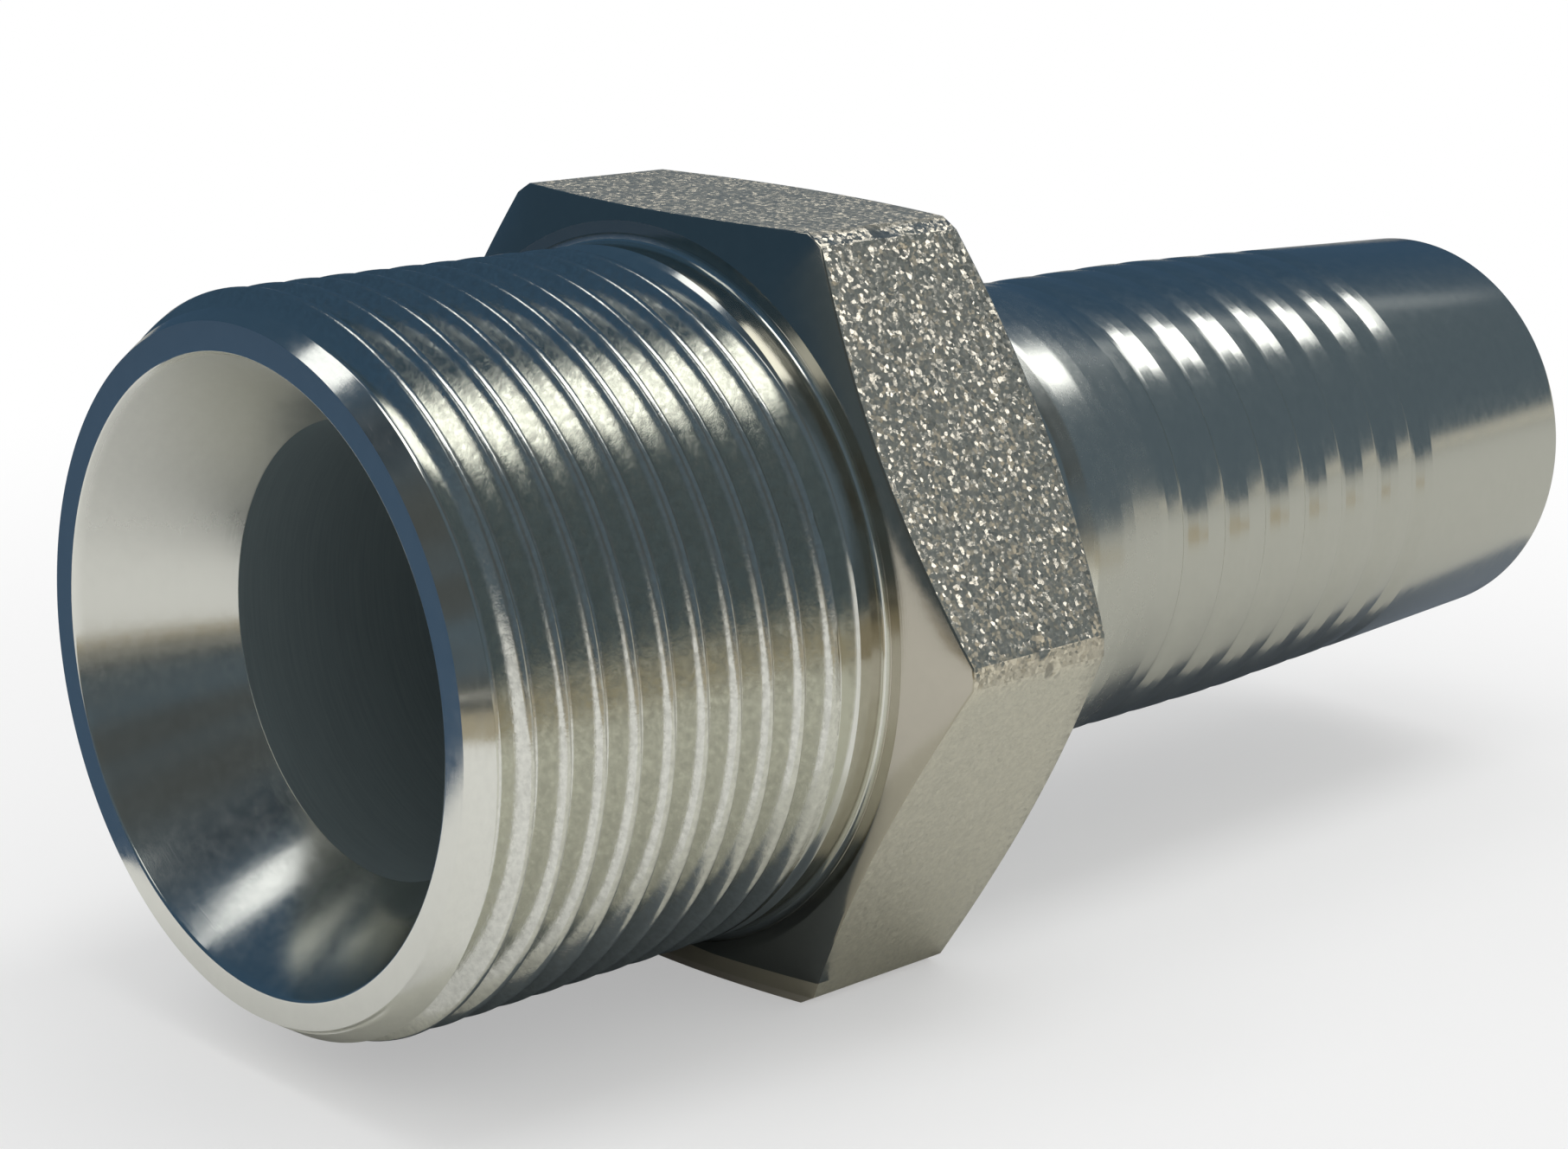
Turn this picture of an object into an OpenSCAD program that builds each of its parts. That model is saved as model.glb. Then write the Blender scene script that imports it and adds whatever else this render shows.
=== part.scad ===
// Press hose coupling: a one-piece turned steel insert. A parallel pipe thread with a sealing cone
// in its mouth, a hexagon for the spanner, and a grooved tail that a hose is pressed onto.
// The axis lies along X with the mouth face at X = 0, and one flat of the hexagon faces down.

/* [Thread] */
// Diameter over the thread crests
thread_d = 41.91; // [37:0.01:43]
// Distance from one crest to the next
thread_pitch = 2.309; // [1.8:0.001:2.8]
// Angle between the two flanks of a thread groove
flank_angle = 55; // [50:1:60]
// Radial depth of the thread
thread_depth = 1.479; // [1:0.001:1.6]
// Length of the thread, from the mouth face to the relief groove
thread_length = 24.6; // [16:0.1:40]
// Width of the relief groove that the thread runs out into
relief_width = 1.25; // [1:0.05:3]
// Depth of the relief groove
relief_depth = 0.6; // [0.3:0.1:1.4]
// Plain collar between the relief groove and the hexagon
collar_length = 1.85; // [1:0.05:10]

/* [Mouth] */
// Radial depth of the lead-in chamfer on the thread
lead_in_depth = 1.55; // [0.8:0.05:2.2]
// Length of the lead-in chamfer along the axis
lead_in_length = 2.4; // [1:0.1:4]
// Width of the flat ring between the lead-in chamfer and the cone
rim_width = 1.6; // [0.6:0.1:3]
// Included angle of the sealing cone
cone_angle = 60; // [50:1:80]

/* [Waterway] */
// Diameter of the bore
bore_d = 26.2; // [18:0.1:28]

/* [Hexagon] */
// Hexagon across the flats
across_flats = 46; // [44.6:0.1:60]
// Length of the hexagon
hex_length = 14; // [8:0.5:30]
// How much the turning takes off each corner of the hexagon
corner_off = 0.36; // [0.1:0.02:1]
// How far inside the flats the corner chamfer starts on each face
face_inset = 0.8; // [0.4:0.1:1.2]
// Slope of the corner chamfer, measured from the face
corner_slope = 22; // [15:1:35]
// Radius in the corners where the hexagon meets the collar and the neck
corner_fillet = 0.4; // [0.1:0.1:0.6]

/* [Neck] */
// Wall around the bore at the locking groove
neck_wall = 1.5; // [1:0.1:3]
// Length of the locking groove behind the hexagon
neck_length = 8.7; // [4:0.1:14]
// Height of the shoulder above the locking groove
shoulder_height = 1; // [0.4:0.1:2]
// Length of the slope up to the shoulder
shoulder_rise = 1; // [0.5:0.1:2]
// Length of the shoulder
shoulder_length = 3.4; // [2:0.1:8]
// Length of the slope from the shoulder down to the tail
shoulder_fall = 3.5; // [2:0.1:6]

/* [Hose tail] */
// Wall around the bore at the tail's lands
tail_wall = 2.1; // [1.4:0.1:3]
// Wall around the bore where the plain nose starts
nose_wall = 1.6; // [1.2:0.1:2]
// Wall around the bore at the tip
tip_wall = 0.95; // [0.8:0.05:1.2]
// Number of grip grooves
groove_count = 7; // [3:1:10]
// Distance from one grip groove to the next
groove_pitch = 4.11; // [3:0.01:6]
// Width of a grip groove
groove_width = 2.5; // [2:0.1:2.9]
// Depth of a grip groove
groove_depth = 0.36; // [0.2:0.02:0.6]
// Plain land before the first grip groove
first_land = 1.35; // [1:0.05:6]
// Length of the plain nose behind the last grip groove
nose_length = 16.15; // [6:0.05:30]
// Radius of the rounded edge at the tip
tip_edge = 0.5; // [0.2:0.1:0.7]

/* [Hidden] */
thread_r = thread_d / 2;
mouth_r = thread_r - lead_in_depth - rim_width;
bore_r = bore_d / 2;
cone_length = (mouth_r - bore_r) / tan(cone_angle / 2);
relief_end = thread_length + relief_width;
hex_start = relief_end + collar_length;
hex_end = hex_start + hex_length;
flat_r = across_flats / 2;
corner_r = flat_r / cos(30) - corner_off;
chamfer_r = flat_r - face_inset;
chamfer_length = (corner_r - chamfer_r) * tan(corner_slope);
neck_r = bore_r + neck_wall;
shoulder_r = neck_r + shoulder_height;
tail_r = bore_r + tail_wall;
shoulder_start = hex_end + neck_length;
shoulder_top = shoulder_start + shoulder_rise;
tail_start = shoulder_top + shoulder_length + shoulder_fall;
grooves_start = tail_start + first_land;
nose_start = grooves_start + (groove_count - 1) * groove_pitch + groove_width;
taper_start = (grooves_start + nose_start) / 2;
tail_end = nose_start + nose_length;

// The V that the flanks make is cut off by the same height at crest and root
flank_slope = tan(flank_angle / 2);
root_half = (thread_pitch / 2 - thread_depth * flank_slope) / 2;

// Steps of the thread's sweep in one turn, and the turns over which it fades out
turn_steps = 36;
fade_turns = 0.5;
// How far the cutting section stands above the crests
cut_above = 0.2;
// Where a crest stands on the side of -Y
first_crest = 0.85;
// How far forms reach into each other where they join
overlap = 1;

// Radius of the tail's lands at a place along the axis
function land_r(x) = lookup(x, [
    [taper_start, tail_r],
    [nose_start, bore_r + nose_wall],
    [tail_end, bore_r + tip_wall]
]);

// Points on a quarter of a circle, as radius and place, from one angle to another
function round_points(centre_r, centre_x, radius, from, to) = [
    for (i = [0:3]) let(a = from + (to - from) * i / 3)
        [centre_r + radius * cos(a), centre_x + radius * sin(a)]
];

// Profiles are drawn with the radius along X and the axis along Y, turned, and laid down along X
module turned() {
    rotate([0, 90, 0]) rotate_extrude($fn = 120) children();
}

// Where the middle of the thread groove lies at an angle along the helix
function groove_centre(angle) = first_crest + thread_pitch * (angle / 360 - 1.25);

// One section of the thread groove's cutter, at an angle along the helix and a depth under the crests
function cutter_section(angle, depth) = let(
    outer_half = root_half + (depth + cut_above) * flank_slope,
    outer_r = thread_r + cut_above,
    inner_r = thread_r - depth
) [
    for (p = [[outer_r, -outer_half], [inner_r, -root_half], [inner_r, root_half], [outer_r, outer_half]])
        [p[0] * cos(angle), p[0] * sin(angle), groove_centre(angle) + p[1]]
];

// Cuts one continuous right-hand groove that fades out in the relief groove
module thread_groove() {
    turns = (relief_end - relief_width / 2 - groove_centre(0)) / thread_pitch;
    steps = floor(turns * turn_steps);
    sections = [
        for (i = [0:steps])
            cutter_section(i * 360 / turn_steps,
                thread_depth * min(1, (steps - i) / fade_turns / turn_steps) - cut_above * max(0, i + 1 - steps) / 2)
    ];
    sides = [
        for (i = [0:steps - 1], k = [0:3])
            let(a = 4 * i + k, b = 4 * i + (k + 1) % 4)
            each [[a, b + 4, b], [a, a + 4, b + 4]]
    ];
    last = 4 * steps;
    ends = [[0, 1, 2, 3], [last + 3, last + 2, last + 1, last]];
    polyhedron([for (s = sections) each s], concat(sides, ends), convexity = 12);
}

// Threaded stub with its lead-in chamfer, relief groove and plain collar, up to the hexagon
module threaded_stub() {
    relief_wall = relief_depth * flank_slope;
    difference() {
        turned() polygon(concat(
            [[0, 0], [thread_r - lead_in_depth, 0], [thread_r, lead_in_length],
             [thread_r, thread_length], [thread_r - relief_depth, thread_length + relief_wall],
             [thread_r - relief_depth, relief_end - relief_depth], [thread_r, relief_end]],
            round_points(thread_r + corner_fillet, hex_start - corner_fillet, corner_fillet, 180, 90),
            [[thread_r + corner_fillet, hex_start + overlap], [0, hex_start + overlap]]
        ));
        rotate([0, 90, 0]) thread_groove();
    }
}

// Spanner hexagon: a prism whose corners are turned round and chamfered on both faces
module spanner_hexagon() {
    intersection() {
        translate([hex_start, 0, 0]) rotate([0, 90, 0]) linear_extrude(hex_length)
            rotate(30) circle(r = flat_r / cos(30), $fn = 6);
        turned() polygon([
            [0, hex_start], [chamfer_r, hex_start], [corner_r, hex_start + chamfer_length],
            [corner_r, hex_end - chamfer_length], [chamfer_r, hex_end], [0, hex_end]
        ]);
    }
}

// Points of one grip groove: steep on the side of the hexagon, with a long rise that rounds onto the next land
function groove_points(x) = [
    for (p = [[0, 0], [0.2, 1], [0.36, 0.92], [0.7, 0.17], [1, 0]])
        [land_r(x + p[0] * groove_width) - p[1] * groove_depth, x + p[0] * groove_width]
];

// Locking groove, shoulder and grooved tail, turned in one profile
module neck_and_tail() {
    turned() polygon(concat(
        [[0, hex_end - overlap], [neck_r + corner_fillet, hex_end - overlap]],
        round_points(neck_r + corner_fillet, hex_end + corner_fillet, corner_fillet, 270, 180),
        [[neck_r, shoulder_start], [shoulder_r, shoulder_top], [shoulder_r, shoulder_top + shoulder_length],
         [tail_r, tail_start]],
        [for (i = [0:groove_count - 1]) each groove_points(grooves_start + i * groove_pitch)],
        round_points(land_r(tail_end) - tip_edge, tail_end - tip_edge, tip_edge, 0, 90),
        [[0, tail_end]]
    ));
}

// Sealing cone and bore, cut right through
module waterway() {
    turned() polygon([
        [0, -overlap], [mouth_r + overlap * tan(cone_angle / 2), -overlap],
        [bore_r, cone_length], [bore_r, tail_end + overlap], [0, tail_end + overlap]
    ]);
}

module hose_insert() {
    color("slategray") difference() {
        union() {
            threaded_stub();
            spanner_hexagon();
            neck_and_tail();
        }
        waterway();
    }
}

hose_insert();
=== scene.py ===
import math

import bmesh
import bpy
from mathutils import Matrix, Vector


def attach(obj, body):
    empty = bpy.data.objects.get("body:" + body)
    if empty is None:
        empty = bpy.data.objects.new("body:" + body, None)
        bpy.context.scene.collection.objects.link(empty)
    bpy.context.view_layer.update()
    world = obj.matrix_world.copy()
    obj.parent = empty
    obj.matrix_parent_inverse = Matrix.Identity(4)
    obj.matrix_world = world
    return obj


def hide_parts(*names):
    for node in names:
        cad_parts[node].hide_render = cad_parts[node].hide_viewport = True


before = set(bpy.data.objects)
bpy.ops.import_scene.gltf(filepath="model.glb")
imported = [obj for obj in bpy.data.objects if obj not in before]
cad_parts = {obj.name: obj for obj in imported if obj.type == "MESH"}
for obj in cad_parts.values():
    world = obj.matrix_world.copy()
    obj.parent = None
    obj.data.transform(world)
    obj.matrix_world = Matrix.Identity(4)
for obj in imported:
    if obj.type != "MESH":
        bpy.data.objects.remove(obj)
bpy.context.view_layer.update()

print("frame loaded:", sorted(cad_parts))

mm = 0.001               # sizes below are in millimetres, the scene is in metres
spokes = 192             # steps round the axis; a multiple of six puts the hexagon's corners on spokes
hair = 1e-9              # rounding error that comparisons allow

# Sizes of the threaded end
thread = {
    "radius": 20.955,        # over the crests
    "pitch": 2.309,
    "depth": 1.479,
    "rounding": 0.317,       # of crest and root
    "roundSteps": 3,
    "flankAngle": 55,
    "firstCrest": 0.85,      # where a crest stands on the side of -Y
    "leadInDepth": 1.55,
    "leadInLength": 2.4,
    "turnsBefore": 2.5,      # turns drawn before the first crest, and turns on top of the helix's length
    "turnsMore": 3,
    "helixEnd": 24.3,        # from here on the rows are plain rings, so that the relief groove stays clean
    "ringStep": 0.04,
    "fadeFrom": 10.35,       # turn at which the groove starts to fade, and how long it takes
    "fadeTurns": 0.45,
    # relief groove: place along the axis and depth under the crests
    "relief": [(24.3, 0), (24.6, 0), (24.91, 0.6), (25.25, 0.6), (25.55, 0.25), (25.85, 0)],
}


# One pitch of the thread, from a crest's middle to just before the next, as offset and radius
def threadProfile(t):
    turnToFlank = math.radians(90 - t["flankAngle"] / 2)
    crest, root = [], []
    for step in range(t["roundSteps"] + 1):
        angle = turnToFlank * step / t["roundSteps"]
        across = t["rounding"] * math.sin(angle)
        down = t["rounding"] * (1 - math.cos(angle))
        crest.append((across, t["radius"] - down))
        root.append((t["pitch"] / 2 - across, t["radius"] - t["depth"] + down))
    top, bottom = Vector(crest[-1]), Vector(root[-1])
    flank = [tuple(top.lerp(bottom, share)) for share in (1 / 3, 2 / 3)]
    falling = crest + flank + root[::-1]
    rising = [(t["pitch"] - offset, radius) for offset, radius in falling[-2:0:-1]]
    return falling + rising


# Radius on a line of corner points at a place along the axis
def radiusOn(line, x):
    for (x0, r0), (x1, r1) in zip(line, line[1:]):
        if x <= x1:
            return r0 + (r1 - r0) * max(0, x - x0) / (x1 - x0)
    return line[-1][1]


def smoothStep(value):
    value = min(1, max(0, value))
    return value * value * (3 - 2 * value)


# Thread radius at a place along the axis and a share of a turn, with the groove fading out at its end
def threadRadius(t, profile, x, turn):
    crestPlace = t["firstCrest"] - t["pitch"] / 2 + t["pitch"] * turn
    groove, offset = divmod(x - crestPlace, t["pitch"])
    lift = t["depth"] * smoothStep((groove + turn - t["fadeFrom"]) / t["fadeTurns"])
    return min(t["radius"], radiusOn(profile, offset) + lift)


# Places a vertex at a point along the axis, a radius and an angle
def place(vertex, x, radius, angle):
    vertex.co = (x * mm, radius * math.cos(angle) * mm, radius * math.sin(angle) * mm)


# Draws a profile of (place along the axis, radius) as a row of edges and turns it round the axis.
# The mesh comes back with a list of vertices for each spoke, in the profile's order.
def turnProfile(profile, advance=0.0):
    bm = bmesh.new()
    rowLayer = bm.verts.layers.int.new("row")
    row = []
    for index, (x, radius) in enumerate(profile):
        vertex = bm.verts.new((x * mm, radius * mm, 0))
        vertex[rowLayer] = index
        row.append(vertex)
    edges = [bm.edges.new(pair) for pair in zip(row, row[1:])]
    bmesh.ops.spin(bm, geom=row + edges, cent=(0, 0, 0), axis=(1, 0, 0), dvec=(advance * mm, 0, 0),
                   angle=math.tau, steps=spokes, use_duplicate=False, use_merge=False)
    bm.verts.ensure_lookup_table()
    count = len(row)
    bySpoke = []
    for step in range(spokes + 1):
        chunk = [bm.verts[step * count + i] for i in range(count)]
        bySpoke.append(sorted(chunk, key=lambda v: v[rowLayer]))
    return bm, bySpoke


# Helical part: the chamfer cuts its crests, and its last rows stop on one ring. The rows start a few
# turns before the mouth and end a few turns late, because the sweep moves them on by one pitch.
def makeHelix(t):
    pitchProfile = threadProfile(t)
    turns = math.ceil(t["helixEnd"] / t["pitch"]) + t["turnsMore"]
    start = t["firstCrest"] - t["turnsBefore"] * t["pitch"]
    rows = []
    for turn in range(turns):
        rows += [(start + turn * t["pitch"] + offset, radius) for offset, radius in pitchProfile]
    closed = pitchProfile + [(t["pitch"], t["radius"])]
    chamfer = [(0, t["radius"] - t["leadInDepth"]), (t["leadInLength"], t["radius"])]
    bm, bySpoke = turnProfile(rows, t["pitch"])
    for step, spoke in enumerate(bySpoke):
        share = step / spokes
        drawn = [(x + t["pitch"] * share, radius) for x, radius in rows]
        over = [radius - radiusOn(chamfer, x) for x, radius in drawn]
        endRadius = threadRadius(t, closed, t["helixEnd"], share)
        for index, vertex in enumerate(spoke):
            x, radius = drawn[index]
            if x <= 0:
                x, radius = 0, chamfer[0][1]
            elif x >= t["helixEnd"]:
                x, radius = t["helixEnd"], endRadius
            elif over[index] > hair:
                # a row next to the cut moves onto it, the others go down to the chamfer
                beside = [i for i in (index - 1, index + 1) if 0 <= i < len(rows)]
                under = [i for i in beside if over[i] < 0 and drawn[i][0] > 0]
                if under:
                    other = under[0]
                    part = over[index] / (over[index] - over[other])
                    x += (drawn[other][0] - x) * part
                    radius += (drawn[other][1] - radius) * part
                else:
                    radius = radiusOn(chamfer, x)
            elif x > t["helixEnd"] - t["pitch"]:
                radius = threadRadius(t, closed, x, share)
            place(vertex, x, radius, math.tau * share)
    return bm


# Last millimetres of the threaded stub, in plain rings: the groove fades into the relief groove
def makeRelief(t):
    closed = threadProfile(t) + [(t["pitch"], t["radius"])]
    relief = [(x, t["radius"] - depth) for x, depth in t["relief"]]
    corners = [x for x, radius in relief]
    places = set(corners)
    for low, high in zip(corners, corners[1:]):
        count = max(1, round((high - low) / t["ringStep"]))
        places.update(low + (high - low) * i / count for i in range(1, count))
    rows = [(x, t["radius"]) for x in sorted(places)]
    bm, bySpoke = turnProfile(rows)
    for step, spoke in enumerate(bySpoke):
        for (x, radius), vertex in zip(rows, spoke):
            if x < corners[-1]:
                radius = min(threadRadius(t, closed, x, step / spokes), radiusOn(relief, x))
            place(vertex, x, radius, math.tau * step / spokes)
    return bm


# Sizes of everything behind the thread, and of the mouth. Corners are place, radius and rounding.
body = {
    "boreRadius": 13.1,
    "rimRadius": 19.405,       # outer edge of the flat ring at the mouth
    "coneRadius": 17.805,      # of the sealing cone at the mouth face
    "coneAngle": 60,
    "coneRounding": 0.2,       # where the cone meets the bore
    "mouthRounding": 0.25,     # where the cone meets the mouth face
    "hexStart": 27.7,
    "hexEnd": 41.7,
    "flatRadius": 23,
    "cornerRadius": 26.2,
    "faceRadius": 22.2,        # where the corner chamfers start on each face
    "faceRounding": 0.06,
    "cornerSlope": 22,
    "flatRows": 8,             # rows of faces along each flat
    "edgeBreak": 0.09,         # rounding of the hexagon's edges
    "edgeShares": (1, 0.35),   # its rows on either side of the edge, as shares of it
    "edgeSink": 0.175,         # how far its inner rows lie inside the sharp edge, as a share of it
    "cornerSlack": 1e-6,       # angle that counts as the same spoke
    "fillet": 0.4,             # where the hexagon meets the collar and the neck
    "lip": [(0, 0.05, 0.02), (0.04, 0.09, 0.02), (0, 0.14, 0)],   # ridge beside the collar's fillet
    "neckRadius": 14.6,
    "shoulder": [(50.4, 14.6, 0.3), (51.4, 15.4, 0.9), (53.6, 15.6, 4), (54.8, 15.57, 0.4),
                 (58.3, 15.2, 1.5)],
    "tailRadius": 15.2,
    "grooveStart": 59.65,
    "groovePitch": 4.11,
    "grooveCount": 7,
    "grooveWidth": 2.5,
    "grooveDepth": 0.36,
    # a groove's outline as shares of its width and depth, with the rounding at each point
    "grooveShape": [(0, 0, 0.15), (0.2, 1, 0.15), (0.36, 0.92, 0.3), (0.68, 0.33, 0.6), (1, 0, 0.06)],
    "noseRadius": 14.7,
    "tipRadius": 14.05,
    "end": 102.96,
    "tipRounding": 0.5,
    "tipInnerRounding": 0.12,
}


# Rounds the corners of a profile of (place, radius, rounding)
def softProfile(corners, steps=4, longestReach=0.45):
    points = []
    for index, (x, radius, rounding) in enumerate(corners):
        corner = Vector((x, radius))
        if not rounding:
            points.append((x, radius))
            continue
        back = Vector(corners[index - 1][:2]) - corner
        on = Vector(corners[index + 1][:2]) - corner
        halfAngle = back.angle(on) / 2
        reach = min(rounding / math.tan(halfAngle), back.length * longestReach, on.length * longestReach)
        first, last = corner + back.normalized() * reach, corner + on.normalized() * reach
        for step in range(steps + 1):
            share = step / steps
            point = first * (1 - share) ** 2 + corner * (2 * share * (1 - share)) + last * share ** 2
            points.append(tuple(point))
    return points


# Radius of the tail's lands at a place along the axis
def landRadius(b, x):
    groovesLength = (b["grooveCount"] - 1) * b["groovePitch"] + b["grooveWidth"]
    taperStart = b["grooveStart"] + groovesLength / 2
    noseStart = b["grooveStart"] + groovesLength
    return radiusOn([(0, b["tailRadius"]), (taperStart, b["tailRadius"]), (noseStart, b["noseRadius"]),
                     (b["end"], b["tipRadius"])], x)


# Profile from the hexagon's rear corners over the neck and the tail, round the tip, back through the bore
# and out to the rim of the mouth
def rearProfile(b):
    corners = [
        (b["hexEnd"], b["cornerRadius"], 0), (b["hexEnd"], b["faceRadius"], b["faceRounding"]),
        (b["hexEnd"], b["neckRadius"], b["fillet"]), *b["shoulder"],
    ]
    for groove in range(b["grooveCount"]):
        x = b["grooveStart"] + groove * b["groovePitch"]
        for along, down, rounding in b["grooveShape"]:
            at = x + along * b["grooveWidth"]
            corners.append((at, landRadius(b, at) - down * b["grooveDepth"], rounding))
    coneEnd = (b["coneRadius"] - b["boreRadius"]) / math.tan(math.radians(b["coneAngle"] / 2))
    corners += [
        (b["end"], b["tipRadius"], b["tipRounding"]), (b["end"], b["boreRadius"], b["tipInnerRounding"]),
        (coneEnd, b["boreRadius"], b["coneRounding"]), (0, b["coneRadius"], b["mouthRounding"]),
        (0, b["rimRadius"], 0),
    ]
    return softProfile(corners)[1:]


# Turned body behind the thread, with the hexagon's rows set spoke by spoke
def makeTurnedBody(b, t):
    slope = math.tan(math.radians(b["cornerSlope"]))
    filletTop = t["radius"] + b["fillet"]
    front = softProfile([
        (t["relief"][-1][0], t["radius"], 0), (b["hexStart"], t["radius"], b["fillet"]),
        *[(b["hexStart"] + along, filletTop + out, rounding) for along, out, rounding in b["lip"]],
        (b["hexStart"], b["faceRadius"], b["faceRounding"]),
        (b["hexStart"] + (b["cornerRadius"] - b["faceRadius"]) * slope, b["cornerRadius"], 0),
    ])[:-1]
    # rows of the hexagon: distance from the nearer face's edge, or share of the flat's length. They are drawn
    # at one point and placed further down.
    outer, inner = (share * b["edgeBreak"] for share in b["edgeShares"])
    edgeRows = [-outer, -inner, inner, outer]
    hexRows = [("front", value) for value in edgeRows]
    hexRows += [("middle", row / b["flatRows"]) for row in range(1, b["flatRows"])]
    hexRows += [("rear", -value) for value in edgeRows]
    profile = front + [(b["hexStart"] + 1, b["cornerRadius"])] * len(hexRows) + rearProfile(b)
    halfFlat = math.radians(30)
    cornerHalf = halfFlat - math.acos(b["flatRadius"] / b["cornerRadius"])     # half a corner strip's width
    bm, bySpoke = turnProfile(profile)
    for step, spoke in enumerate(bySpoke):
        angle = math.tau * step / spokes
        fromFlat = (angle + hair) % (2 * halfFlat) - halfFlat
        if abs(abs(fromFlat) - (halfFlat - math.tau / spokes)) < b["cornerSlack"]:
            # the spokes beside a corner move onto the edges of its strip
            angle += math.copysign(halfFlat - cornerHalf - abs(fromFlat), fromFlat)
            fromFlat = math.copysign(halfFlat - cornerHalf, fromFlat)
        edgeRadius = min(b["cornerRadius"], b["flatRadius"] / math.cos(fromFlat))
        edgeDepth = (edgeRadius - b["faceRadius"]) * slope
        for index, (side, value) in enumerate(hexRows):
            if side == "middle":
                x = b["hexStart"] + edgeDepth + (b["hexEnd"] - b["hexStart"] - 2 * edgeDepth) * value
                radius = edgeRadius
            else:
                inward = max(0, -value)
                sink = b["edgeBreak"] * b["edgeSink"] if abs(value) < outer else 0
                depth = edgeDepth + max(0, value) - inward * slope + sink
                radius = edgeRadius - inward - sink
                x = b["hexStart"] + depth if side == "front" else b["hexEnd"] - depth
            place(spoke[len(front) + index], x, radius, angle)
    return bm


# A socket that can be used in an expression: each operator adds its Math node
class Field:
    def __init__(self, book, socket):
        self.book = book
        self.socket = socket

    def maths(self, operation, first, second=None):
        values = {0: first} if second is None else {0: first, 1: second}
        return self.book.make("ShaderNodeMath", {"operation": operation}, values)

    def __add__(self, other):
        return self.maths("ADD", self, other)

    def __radd__(self, other):
        return self.maths("ADD", other, self)

    def __sub__(self, other):
        return self.maths("SUBTRACT", self, other)

    def __rsub__(self, other):
        return self.maths("SUBTRACT", other, self)

    def __mul__(self, other):
        return self.maths("MULTIPLY", self, other)

    def __truediv__(self, other):
        return self.maths("DIVIDE", self, other)

    def __pow__(self, other):
        return self.maths("POWER", self, other)

    def __abs__(self):
        return self.maths("ABSOLUTE", self)

    # 0 below low, 1 above high, smooth between
    def rise(self, low, high):
        settings = {"interpolation_type": "SMOOTHSTEP", "clamp": True}
        return self.book.make("ShaderNodeMapRange", settings, {0: self, 1: low, 2: high, 3: 0.0, 4: 1.0})

    # 1 at a middle value, falling to 0 at a distance on either side
    def hump(self, middle, reach):
        return 1 - abs(self - middle).rise(0, reach)


# One material's or world's nodes
class Book:
    def __init__(self, owner):
        owner.use_nodes = True
        self.tree = owner.node_tree
        self.nodes = owner.node_tree.nodes

    def feed(self, socket, value):
        if isinstance(value, Field):
            self.tree.links.new(value.socket, socket)
        elif isinstance(value, (tuple, list)) and len(value) == 3 and socket.type == "RGBA":
            socket.default_value = (*value, 1)
        else:
            socket.default_value = value

    def make(self, kind, settings=None, values=None, output=0):
        node = self.nodes.new(kind)
        for name, setting in (settings or {}).items():
            setattr(node, name, setting)
        for name, value in (values or {}).items():
            self.feed(node.inputs[name], value)
        return Field(self, node.outputs[output])

    # another output of the node that a field comes from
    def also(self, field, output):
        return Field(self, field.socket.node.outputs[output])

    def mix(self, share, first, second):
        return self.make("ShaderNodeMix", {"data_type": "RGBA"}, {0: share, 6: first, 7: second}, 2)

    def tint(self, colour, amount):
        settings = {"data_type": "RGBA", "blend_type": "MULTIPLY"}
        grey = self.make("ShaderNodeCombineColor", None, {0: amount, 1: amount, 2: amount})
        return self.make("ShaderNodeMix", settings, {0: 1.0, 6: colour, 7: grey}, 2)

    def vector(self, x, y, z):
        return self.make("ShaderNodeCombineXYZ", None, {0: x, 1: y, 2: z})

    def noise(self, vector, scale, detail, roughness):
        return self.make("ShaderNodeTexNoise", None, {"Vector": vector, "Scale": scale, "Detail": detail,
                                                      "Roughness": roughness})

    def vectorMaths(self, operation, first, second, output="Vector"):
        return self.make("ShaderNodeVectorMath", {"operation": operation}, {0: first, 1: second}, output)

    def bump(self, height):
        return self.make("ShaderNodeBump", None, {"Strength": 1.0, "Distance": mm, "Height": height})

    # place along the axis, across and up, in a unit given in metres
    def places(self, unit):
        point = self.make("ShaderNodeTexCoord", None, None, "Object")
        x = self.make("ShaderNodeSeparateXYZ", None, {0: point})
        return x / unit, self.also(x, 1) / unit, self.also(x, 2) / unit


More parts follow.
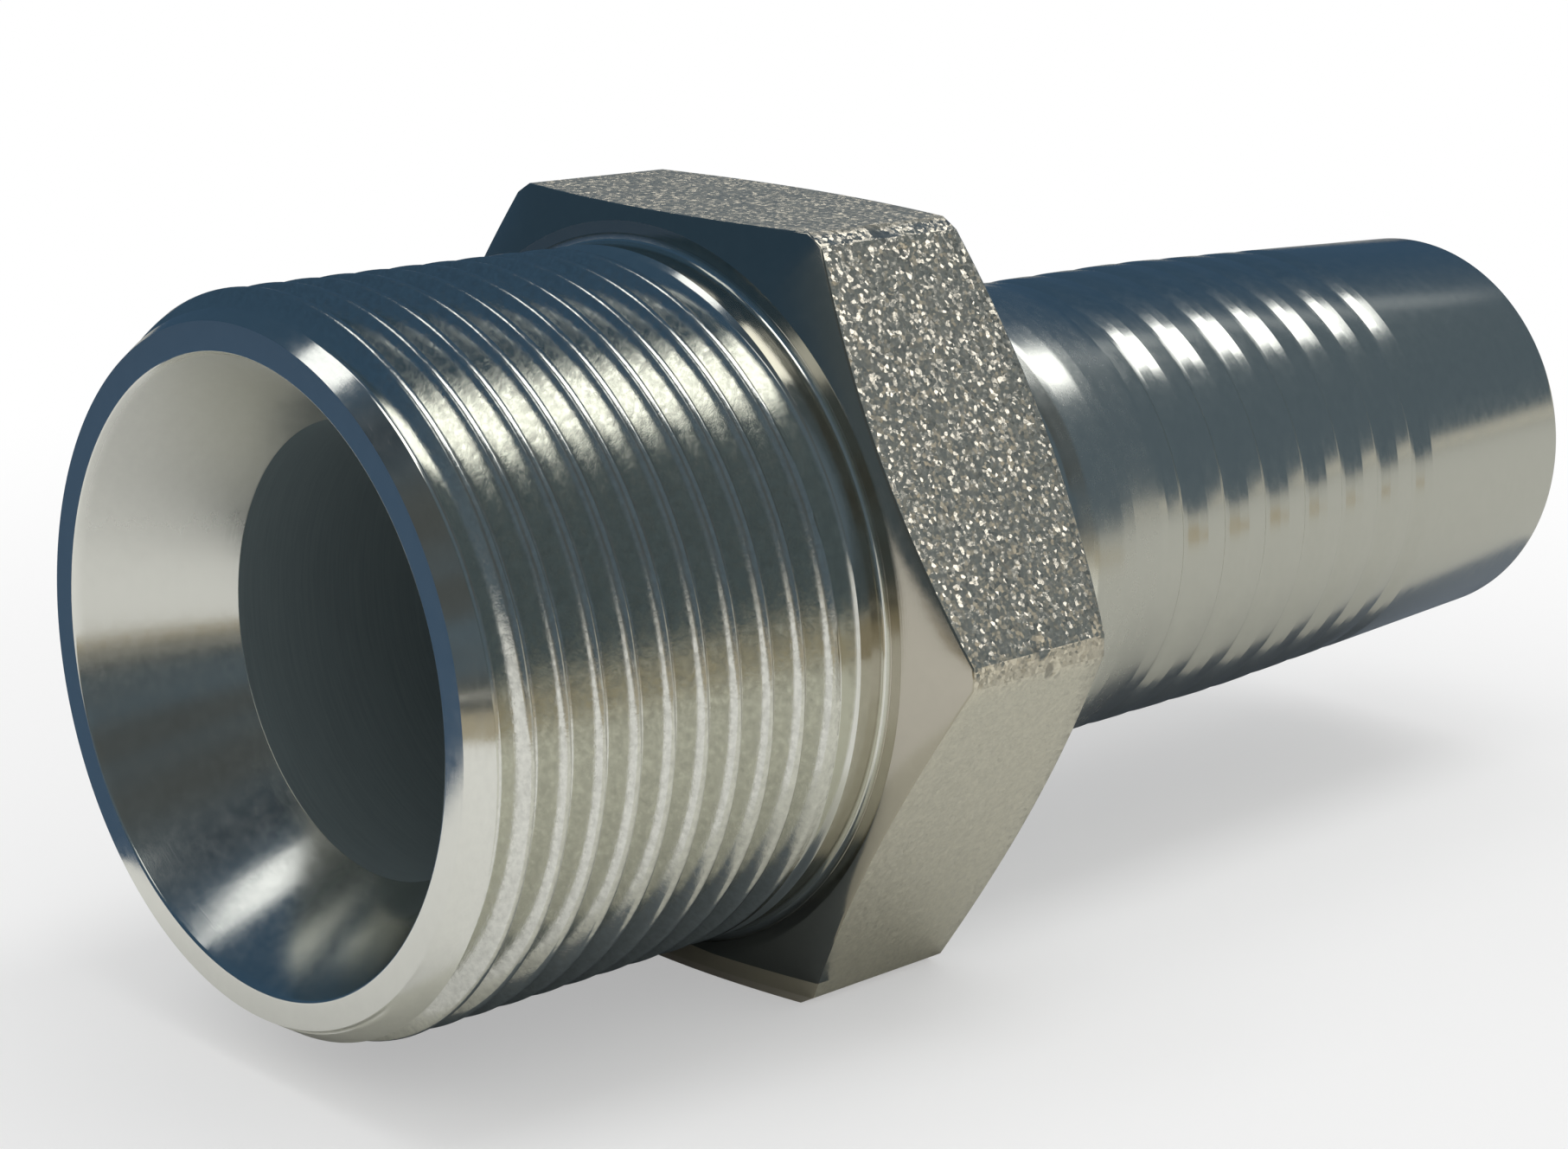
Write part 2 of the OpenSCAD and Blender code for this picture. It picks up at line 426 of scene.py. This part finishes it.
# Finish of the turned surfaces. A pair of places or radii is where a zone fades in; noises are scale,
# detail and roughness.
turned = {
    "colour": (0.72, 0.72, 0.655),
    "paintedFaceReflection": (0.47, 0.44, 0.365),     # painted reflection: a darker, browner colour of the hexagon's turned faces
    "tone": 0.95,            # darkest, how much blotches lighten it and how much darker the cone is
    "blotchTone": 0.12,
    "coneTone": 0.1,
    "roughness": 0.125,
    "mottle": 0.18,          # how much the roughness varies over blotches and over rings
    "ringMottle": 0.06,
    "rings": 22.0,           # fineness of the turning marks along the axis and round it
    "ringSweep": 0.12,
    "ringNoise": (1.0, 3.0, 0.6),
    "blotchStretch": 1.5,
    "blotchNoise": (1.1, 4.0, 0.65),
    "scuffStretch": 1.6,
    "scuffNoise": (2.2, 5.0, 0.7),
    "scuffZone": (0.44, 0.64),
    "scuffMiddle": 0.42,
    "scuffDulling": 0.09,
    "chamferTone": 0.2,      # how much scuffs darken the lead-in chamfer, and the thread on top of that
    "threadTone": 0.5,
    "threadStart": (1.6, 2.6),
    "threadEnd": (24.5, 24.7),
    "threadRoot": (19.2, 19.3),
    "coneRadius": (17.4, 17.8),
    "coneEnd": (9, 9.5),
    "coneUpper": (2, 9),
    "coneDulling": 0.05,     # how much rougher the sealing cone is
    "upperDulling": 0.22,    # and its upper half on top of that
    "faceStart": (27.5, 27.7),
    "faceEnd": (29.4, 29.6),
    "faceRadius": (21.2, 21.4),
    "shoulderStart": (50.3, 50.9),
    "outside": (13.6, 13.8),
    "tailStart": (57.0, 58.3),
    "shoulderDulling": 0.13, # how much rougher the shoulder is
    "tailDulling": 0.06,     # and the tail behind it
    "ringHeight": 0.0016,    # of the turning marks, millimetres
    "waveHeight": 0.0022,    # of the slow unevenness round the part
}

# Finish of the hexagon's flats
blasted = {
    "colour": (0.80, 0.77, 0.66),
    # lighter, warmer colour of the upper flats: painted light
    "litUpperColour": (0.95, 0.86, 0.70),
    "upperZone": (-2, 2),
    "tone": 0.8,
    "fineTone": 0.36,
    "lowerShade": 0.20,       # painted shade: how much duller the lower flats are
    "roughness": 0.34,
    "mottle": 0.25,
    "grain": 0.23,           # size of a grain in millimetres
    "grainLean": 0.80,       # how far a grain's face leans
    "grainHeight": 0.06,     # of the fine unevenness between the grains
    "fineNoise": (2.8, 4.0, 0.62),
    "lowerGrain": 0.22,      # share of the grain that the lower flats keep
    "topZone": (22.75, 22.95),
    "topGrain": 1.1,         # how much stronger the grain of the top flat is, and how much rougher it is
    "topDulling": 0.2,
}

# Drilled wall of the waterway
drilled = {
    "colour": (0.22, 0.27, 0.28),
    "tone": 0.8,
    "ringTone": 0.4,
    "metallic": 0.35,
    "roughness": 0.5,
    "mottle": 0.2,
    "ringStretch": (9.0, 0.2),
    "ringNoise": (1.0, 3.0, 0.6),
}

# Dents on the hexagon: place along the axis, angle from -Y towards +Z, radius, reach and depth
dents = [
    (34.6, 60, 26.1, 1.1, 0.5),
    (35.4, 57, 25.8, 0.5, 0.3),
    (34.9, 2, 26.2, 0.9, 0.35),
    (35.8, -1.5, 26.2, 0.7, 0.4),
    (28.7, -3, 26.0, 0.6, 0.3),
    (28.4, -9, 24.4, 0.5, 0.3),
]


def makeTurnedSteel(f):
    steel = bpy.data.materials.new("turnedSteel")
    book = Book(steel)
    shader = book.nodes["Principled BSDF"]
    x, y, z = book.places(mm)
    radius = (y * y + z * z) ** 0.5
    ringPoint = book.vector(x * f["rings"], radius * f["rings"], (y + z) * f["ringSweep"])
    rings = book.noise(ringPoint, *f["ringNoise"])
    blotch = book.noise(book.vector(x * f["blotchStretch"], y, z), *f["blotchNoise"])
    scuff = book.noise(book.vector(x * f["scuffStretch"], y, z), *f["scuffNoise"])
    behindChamfer = x.rise(*f["threadStart"])
    onThread = (1 - x.rise(*f["threadEnd"])) * radius.rise(*f["threadRoot"])
    scuffed = onThread * behindChamfer * scuff.rise(*f["scuffZone"])
    onCone = (1 - radius.rise(*f["coneRadius"])) * (1 - x.rise(*f["coneEnd"]))
    onFace = x.rise(*f["faceStart"]) * (1 - x.rise(*f["faceEnd"])) * radius.rise(*f["faceRadius"])
    onTail = x.rise(*f["tailStart"])
    onShoulder = x.rise(*f["shoulderStart"]) * (1 - onTail) * radius.rise(*f["outside"])
    rough = f["roughness"] + (blotch - 0.5) * f["mottle"] + (rings - 0.5) * f["ringMottle"]
    rough = rough + scuffed * f["scuffDulling"]
    rough = rough + onCone * (f["coneDulling"] + z.rise(*f["coneUpper"]) * f["upperDulling"])
    rough = rough + onShoulder * f["shoulderDulling"] + onTail * f["tailDulling"]
    scuffTone = f["chamferTone"] + behindChamfer * f["threadTone"]
    tone = f["tone"] + blotch * f["blotchTone"] - onThread * (scuff - f["scuffMiddle"]) * scuffTone
    # the hexagon's turned front face takes a darker, browner colour: painted reflection
    colour = book.mix(onFace, f["colour"], f["paintedFaceReflection"])
    book.feed(shader.inputs["Base Color"], book.tint(colour, tone - onCone * f["coneTone"]))
    book.feed(shader.inputs["Roughness"], rough)
    height = rings * f["ringHeight"] + (blotch + scuffed) * f["waveHeight"]
    book.feed(shader.inputs["Normal"], book.bump(height))
    shader.inputs["Metallic"].default_value = 1
    return steel


def makeBlastedSteel(f):
    steel = bpy.data.materials.new("blastedSteel")
    book = Book(steel)
    shader = book.nodes["Principled BSDF"]
    x, y, z = book.places(mm)
    point = book.vector(x, y, z)
    # every grain is a small face of its own that leans some way
    grain = book.make("ShaderNodeTexVoronoi", {"feature": "F1"}, {"Vector": point, "Scale": 1 / f["grain"]})
    fromMiddle = book.vectorMaths("SUBTRACT", point, book.also(grain, "Position"))
    lean = book.vectorMaths("SUBTRACT", book.also(grain, "Color"), (0.5, 0.5, 0.5))
    face = book.vectorMaths("DOT_PRODUCT", fromMiddle, lean, "Value")
    fine = book.noise(point, *f["fineNoise"])
    upper = z.rise(*f["upperZone"])
    top = z.rise(*f["topZone"])
    strength = f["lowerGrain"] + upper * (1 - f["lowerGrain"]) + top * f["topGrain"]
    height = (face * f["grainLean"] + fine * f["grainHeight"]) * strength
    for dentPlace, angle, distance, reach, depth in dents:
        across = y + distance * math.cos(math.radians(angle))
        up = z - distance * math.sin(math.radians(angle))
        away = ((x - dentPlace) ** 2 + across ** 2 + up ** 2) ** 0.5
        height = height - away.hump(0, reach) * depth
    # painted light and shade: the upper flats lighter and warmer, the lower flats darker
    tone = f["tone"] + fine * f["fineTone"] - (1 - upper) * f["lowerShade"]
    colour = book.mix(upper, f["colour"], f["litUpperColour"])
    rough = f["roughness"] + (fine - 0.5) * f["mottle"] + top * f["topDulling"]
    book.feed(shader.inputs["Base Color"], book.tint(colour, tone))
    book.feed(shader.inputs["Roughness"], rough)
    book.feed(shader.inputs["Normal"], book.bump(height))
    shader.inputs["Metallic"].default_value = 1
    return steel


def makeDrilledSteel(f):
    steel = bpy.data.materials.new("drilledSteel")
    book = Book(steel)
    shader = book.nodes["Principled BSDF"]
    x, y, z = book.places(mm)
    along, across = f["ringStretch"]
    rings = book.noise(book.vector(x * along, y * across, z * across), *f["ringNoise"])
    book.feed(shader.inputs["Base Color"], book.tint(f["colour"], f["tone"] + rings * f["ringTone"]))
    book.feed(shader.inputs["Roughness"], f["roughness"] + (rings - 0.5) * f["mottle"])
    shader.inputs["Metallic"].default_value = f["metallic"]
    return steel


# How the sections join into one mesh (millimetres), and which faces are sharp, flat or drilled
joining = {
    "weld": 0.002,
    "sliver": 0.0005,
    "sharpAngle": 26,
    "flatLean": 0.3,         # greatest lean of a flat's normal along the axis
    "boreLean": 0.2,
    "boreSlack": 0.02,
}


def makeInsert(j):
    bm = bmesh.new()
    for part in (makeHelix(thread), makeRelief(thread), makeTurnedBody(body, thread)):
        section = bpy.data.meshes.new("section")
        part.to_mesh(section)
        part.free()
        bm.from_mesh(section)
        bpy.data.meshes.remove(section)
    bmesh.ops.remove_doubles(bm, verts=bm.verts, dist=j["weld"] * mm)
    bmesh.ops.dissolve_degenerate(bm, edges=bm.edges, dist=j["sliver"] * mm)
    bmesh.ops.recalc_face_normals(bm, faces=bm.faces)
    openEdges = [edge for edge in bm.edges if len(edge.link_faces) != 2]
    volume = round(bm.calc_volume() / mm ** 3)
    print("insert: faces", len(bm.faces), "open edges", len(openEdges), "volume mm3", volume)
    mesh = bpy.data.meshes.new("pressedInsert")
    bm.to_mesh(mesh)
    bm.free()
    mesh.polygons.foreach_set("use_smooth", [True] * len(mesh.polygons))
    mesh.set_sharp_from_angle(angle=math.radians(j["sharpAngle"]))
    mesh.materials.append(makeTurnedSteel(turned))
    mesh.materials.append(makeBlastedSteel(blasted))
    mesh.materials.append(makeDrilledSteel(drilled))
    for face in mesh.polygons:
        x, y, z = face.center / mm
        lean = abs(face.normal.x)
        onHexagon = body["hexStart"] < x < body["hexEnd"] and math.hypot(y, z) > body["faceRadius"]
        if onHexagon and lean < j["flatLean"]:
            face.material_index = 1
        elif math.hypot(y, z) < body["boreRadius"] + j["boreSlack"] and lean < j["boreLean"]:
            face.material_index = 2
    insert = bpy.data.objects.new("turned_insert", mesh)
    bpy.context.scene.collection.objects.link(insert)
    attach(insert, "root")
    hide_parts("hose_insert")


makeInsert(joining)

# Camera at the photograph's viewing angle
camera = {
    "place": (-0.09134, -0.14265, 0.05030),
    "turn": (76.048, -1.206, -45.353),       # degrees
    "lens": 73.43,
    "sensor": 36,
    "shift": (-0.1103, -0.0303),
    "clip": (0.01, 20),
}


def makeCamera(c):
    data = bpy.data.cameras.new("photoCamera")
    data.lens = c["lens"]
    data.sensor_width = c["sensor"]
    data.shift_x, data.shift_y = c["shift"]
    data.clip_start, data.clip_end = c["clip"]
    holder = bpy.data.objects.new("photoCamera", data)
    holder.location = c["place"]
    holder.rotation_euler = [math.radians(angle) for angle in c["turn"]]
    bpy.context.scene.collection.objects.link(holder)
    bpy.context.scene.camera = holder


makeCamera(camera)
print("camera: lens", camera["lens"])

floorLevel = -body["flatRadius"] * mm

# Matte paper of the floor and the cards
paper = {
    "roughness": 0.9,
    "gloss": 0.1,
}

# Floor: half its side in metres, its grey, and the circle in which the part's shadow shows in millimetres
floorSizes = {
    "reach": 4,
    "grey": (0.93, 0.93, 0.93),
    "shadowMiddle": 40,
    "shadowEdge": (50, 170),
    "whiteNear": 0.4,        # share of plain white that the camera sees near the part
}


# Makes an object of a finished bmesh
def addMesh(name, bm):
    mesh = bpy.data.meshes.new(name)
    bm.to_mesh(mesh)
    bm.free()
    thing = bpy.data.objects.new(name, mesh)
    bpy.context.scene.collection.objects.link(thing)
    return thing


def makePaper(name, colour):
    material = bpy.data.materials.new(name)
    material.use_nodes = True
    shader = material.node_tree.nodes["Principled BSDF"]
    shader.inputs["Base Color"].default_value = (*colour, 1)
    shader.inputs["Roughness"].default_value = paper["roughness"]
    shader.inputs["Specular IOR Level"].default_value = paper["gloss"]
    return material


def makeFloor(f):
    bm = bmesh.new()
    bmesh.ops.create_grid(bm, x_segments=2, y_segments=2, size=f["reach"])
    bmesh.ops.translate(bm, verts=bm.verts, vec=(0, 0, floorLevel))
    floor = addMesh("floor", bm)
    material = makePaper("floorPaper", f["grey"])
    book = Book(material)
    x, y = book.places(mm)[:2]
    rays = book.make("ShaderNodeLightPath")
    away = ((x - f["shadowMiddle"]) ** 2 + y ** 2) ** 0.5
    share = f["whiteNear"] + away.rise(*f["shadowEdge"]) * (1 - f["whiteNear"])
    share = book.also(rays, "Is Camera Ray") * share
    white = book.make("ShaderNodeEmission", None, {"Color": (1.0, 1.0, 1.0), "Strength": 1.0})
    matte = Field(book, book.nodes["Principled BSDF"].outputs[0])
    surface = book.make("ShaderNodeMixShader", None, {0: share, 1: matte, 2: white})
    book.feed(book.nodes["Material Output"].inputs["Surface"], surface)
    floor.data.materials.append(material)


makeFloor(floorSizes)
print("floor at", floorLevel)

# Soft lamps over the part: both ends of a lamp's middle line in metres, its width and its brightness
lights = {
    "main": ((-0.19, -0.128, 0.8), (0.78, -0.168, 0.8), 0.31, 2.3),
    "front": ((-0.95, -0.04, 0.8), (-0.55, -0.04, 0.8), 0.26, 0.9),
    "side": ((-0.32, 0.28, 0.8), (0.0, 0.33, 0.8), 0.24, 1.4),
    "end": ((0.86, 0.06, 0.8), (1.6, 0.12, 0.8), 0.13, 0.2),
}


def addLamp(name, start, end, width, radiance):
    start, end = Vector(start), Vector(end)
    length = (end - start).length
    data = bpy.data.lights.new(name, "AREA")
    data.shape = "RECTANGLE"
    data.size, data.size_y = length, width
    data.energy = radiance * math.pi * length * width
    lamp = bpy.data.objects.new(name, data)
    along = (end - start).normalized()
    down = Vector((0, 0, -1))
    across = down.cross(along).normalized()
    turn = Matrix((along, across, -down)).transposed().to_4x4()
    lamp.matrix_world = Matrix.Translation((start + end) / 2) @ turn
    lamp.visible_camera = False
    bpy.context.scene.collection.objects.link(lamp)


for name, (start, end, width, radiance) in lights.items():
    addLamp(name + "Light", start, end, width, radiance)
print("lamps:", len(lights))

# The metal stands in a glowing tent whose colours are painted light and shade, with pale and dark cards on
# the floor, which only its reflections see. The blue card and the three shadow cards are painted shadow of
# the part
# on the floor. Cards: lowest and highest corner in metres, colour. Each lies a little above the one before.
cards = {
    "greyCard": ((0.065, -2.5), (3.0, 2.5), (0.54, 0.54, 0.51)),
    "nearCard": ((0.0, -2.5), (0.065, 2.5), (0.80, 0.80, 0.75)),
    "tanCard": ((-0.6, -1.2), (0.16, -0.11), (0.46, 0.41, 0.31)),
    "darkCard": ((-1.5, -1.2), (-0.12, -0.28), (0.10, 0.11, 0.11)),
    # painted shadow: the part's shadow on the floor behind it, as a dark blue card
    "blueCard": ((-1.5, 0.032), (0.0, 1.2), (0.06, 0.11, 0.19)),
    # painted shadow of the part on the floor beneath it, as dark cards
    "threadShadow": ((0.004, -0.0170), (0.030, 0.05), (0.24, 0.28, 0.32)),
    "hexagonShadow": ((0.030, -0.0128), (0.047, 0.05), (0.20, 0.23, 0.26)),
    "tailShadow": ((0.047, -0.0115), (0.128, 0.05), (0.18, 0.21, 0.25)),
}
cardStep = 0.0003

# The tent, which glows with painted light and shade that only the metal's reflections see. Its zones are
# shares of its radius, and a pair is where a zone fades in.
tent = {
    "radius": 3.0,
    "segments": (48, 24),
    "slate": (0.094, 0.126, 0.155),
    "blue": (0.040, 0.080, 0.135),         # behind the part, leaning over it
    "blueZone": (0.1, 0.6),
    "blueLean": 0.35,
    "brown": (0.080, 0.088, 0.090),        # streaks at the front
    "brownAlong": (-0.45, -0.1),
    "brownAcross": (-0.5, -0.05),
    "streakStretch": (0.4, 5.0),
    "streakNoise": (1.0, 2.0, 0.5),
    "streakZone": (0.3, 0.6),
    "deep": (0.038, 0.052, 0.068),         # a patch overhead: middle and reach along and across
    "deepAlong": (-0.36, 0.3),
    "deepAcross": (-0.12, 0.35),
    "deepHeight": (0.6, 0.85),
    "pale": (0.54, 0.52, 0.46),            # along the foot on the side of -Y, higher towards the tip
    "paleAcross": (-0.2, 0.2),
    "paleHeight": (-0.005, 0.015),
    "paleLift": 0.055,
    "liftLean": 1.15,
    "liftZone": (-0.05, 0.15),
}


def showOnlyInReflections(thing):
    for ray in ("camera", "diffuse", "transmission", "volume_scatter", "shadow"):
        setattr(thing, "visible_" + ray, False)


def makeCard(name, low, high, colour, height):
    bm = bmesh.new()
    bmesh.ops.create_grid(bm, x_segments=1, y_segments=1, size=0.5)
    for vertex in bm.verts:
        x = high[0] if vertex.co.x > 0 else low[0]
        y = high[1] if vertex.co.y > 0 else low[1]
        vertex.co = (x, y, floorLevel + height)
    card = addMesh(name, bm)
    showOnlyInReflections(card)
    card.data.materials.append(makePaper(name, colour))


for index, (name, (low, high, colour)) in enumerate(cards.items()):
    makeCard(name, low, high, colour, cardStep * (index + 1))
print("cards:", len(cards))


def makeTent(t):
    bm = bmesh.new()
    around, upward = t["segments"]
    bmesh.ops.create_uvsphere(bm, u_segments=around, v_segments=upward, radius=t["radius"])
    tentGlow = addMesh("tent", bm)
    showOnlyInReflections(tentGlow)
    glowMaterial = bpy.data.materials.new("tentGlow")
    book = Book(glowMaterial)
    book.nodes.clear()
    x, y, z = book.places(t["radius"])
    colour = book.mix((y + z * t["blueLean"]).rise(*t["blueZone"]), t["slate"], t["blue"])
    flat, tall = t["streakStretch"]
    streak = book.noise(book.vector(x * flat, y * flat, z * tall), *t["streakNoise"])
    front = (1 - x.rise(*t["brownAlong"])) * (1 - y.rise(*t["brownAcross"]))
    colour = book.mix(front * streak.rise(*t["streakZone"]), colour, t["brown"])
    overhead = x.hump(*t["deepAlong"]) * y.hump(*t["deepAcross"]) * z.rise(*t["deepHeight"])
    colour = book.mix(overhead, colour, t["deep"])
    towardTip = (x + y * t["liftLean"]).rise(*t["liftZone"])
    low = 1 - (z - towardTip * t["paleLift"]).rise(*t["paleHeight"])
    colour = book.mix(low * (1 - y.rise(*t["paleAcross"])), colour, t["pale"])
    # the tent glows in these painted colours
    glow = book.make("ShaderNodeEmission", None, {"Color": colour, "Strength": 1.0})
    out = book.nodes.new("ShaderNodeOutputMaterial")
    book.feed(out.inputs["Surface"], glow)
    tentGlow.data.materials.append(glowMaterial)


makeTent(tent)
print("tent: radius", tent["radius"])

surround = 0.66          # light of the studio's walls on the part; rays that see the world see plain white


def makeWorld():
    world = bpy.data.worlds.new("studio")
    bpy.context.scene.world = world
    book = Book(world)
    rays = book.make("ShaderNodeLightPath")
    seen = 0
    for kind in ("Camera", "Glossy", "Transmission"):
        seen = seen + book.also(rays, f"Is {kind} Ray")
    level = surround + seen.rise(0, 1) * (1 - surround)
    book.nodes["Background"].inputs["Color"].default_value = (1, 1, 1, 1)
    book.feed(book.nodes["Background"].inputs["Strength"], level)


makeWorld()
bpy.context.scene.view_settings.view_transform = "Standard"
print("world: surround", surround)
